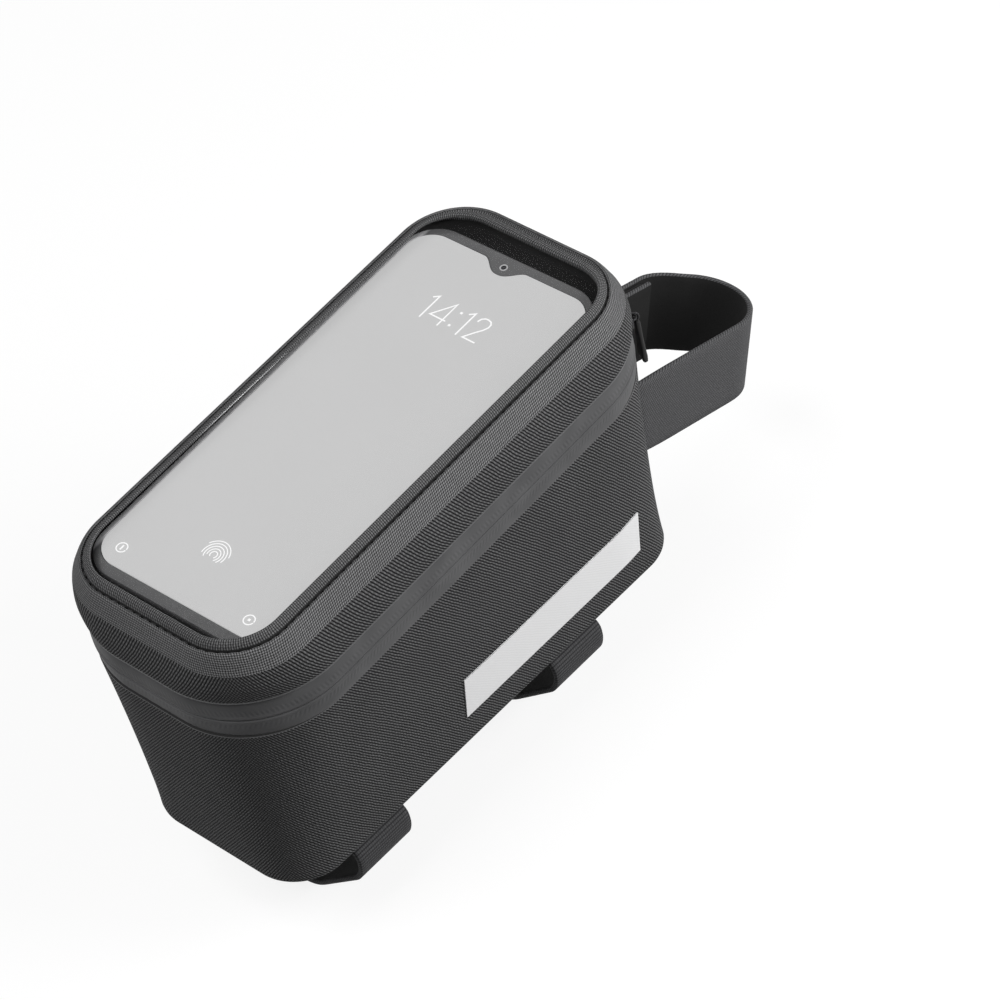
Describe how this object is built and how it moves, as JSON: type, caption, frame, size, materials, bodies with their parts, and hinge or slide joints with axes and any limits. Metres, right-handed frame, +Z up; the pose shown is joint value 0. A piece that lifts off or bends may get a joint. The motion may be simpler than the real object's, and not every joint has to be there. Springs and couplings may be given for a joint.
{
  "type": "top tube phone bag",
  "caption": "Soft zipped case strapped on a bicycle's top tube, with a phone held under a clear window in its hinged lid.",
  "frame": {"origin": "centre of the base's underside, where the bag sits on the top tube", "axes": "+Z up out of the base, +Y forward to the handlebar stem along the top tube, +X to the bicycle's right"},
  "size_m": [0.087, 0.2569, 0.1509],
  "materials": {
    "case_fabric": "coarse dark grey woven fabric over foam",
    "coated_tape": "smooth matte coated tape",
    "webbing": "ribbed dark grey webbing",
    "black_lining": "black cloth",
    "floor_board": "matte black board",
    "slider_metal": "black lacquer",
    "clear_film": "clear, slightly milky",
    "phone_shell": "dark satin",
    "phone_front_glass": "dark polished",
    "lit_screen": "lit grey",
    "lens_glass": "black polished",
    "zip_coil": "black nylon",
    "reflective_tape": "light grey retroreflective weave",
    "pull_rubber": "matte black"
  },
  "bodies": {
    "bag": {"body_wall": "case_fabric", "base_panel": "floor_board", "front_hinge": "case_fabric", "zip_tape_lower": "coated_tape", "zip_coil_lower": "zip_coil", "zip_stop_left": "zip_coil", "zip_stop_right": "zip_coil", "stripe_left": "reflective_tape", "stripe_right": "reflective_tape", "tube_strap_front": "webbing", "tube_strap_front_patch": "black_lining", "tube_strap_rear": "webbing", "tube_strap_rear_patch": "black_lining", "head_strap": "webbing", "head_strap_patch": "black_lining"},
    "lid": {"lid_shell": "case_fabric", "window_welt": "case_fabric", "window_film": "clear_film", "zip_tape_upper": "coated_tape", "zip_coil_upper": "zip_coil", "phone_pocket": "black_lining", "phone_body": "phone_shell", "phone_front": "phone_front_glass", "phone_screen": "lit_screen", "phone_camera_lens": "lens_glass"},
    "slider": {"zip_slider": "slider_metal"},
    "pull": {"zip_pull": "pull_rubber"}
  },
  "joints": [
    {"name": "lid_hinge", "type": "hinge", "parent": "bag", "child": "lid", "pos_m": [0, 0.08759, 0.0915], "axis": [-1, 0, 0], "range_deg": [0, 95]},
    {"name": "slider_run", "type": "hinge", "parent": "bag", "child": "slider", "pos_m": [0.0105, 0.05367, 0.08924], "axis": [0, 0.0663, -0.9978], "range_deg": [0, 64]},
    {"name": "pull_swing", "type": "hinge", "parent": "slider", "child": "pull", "pos_m": [0.02648, 0.08636, 0.09141], "axis": [0.8988, -0.4374, -0.029], "range_deg": [0, 100]}
  ]
}
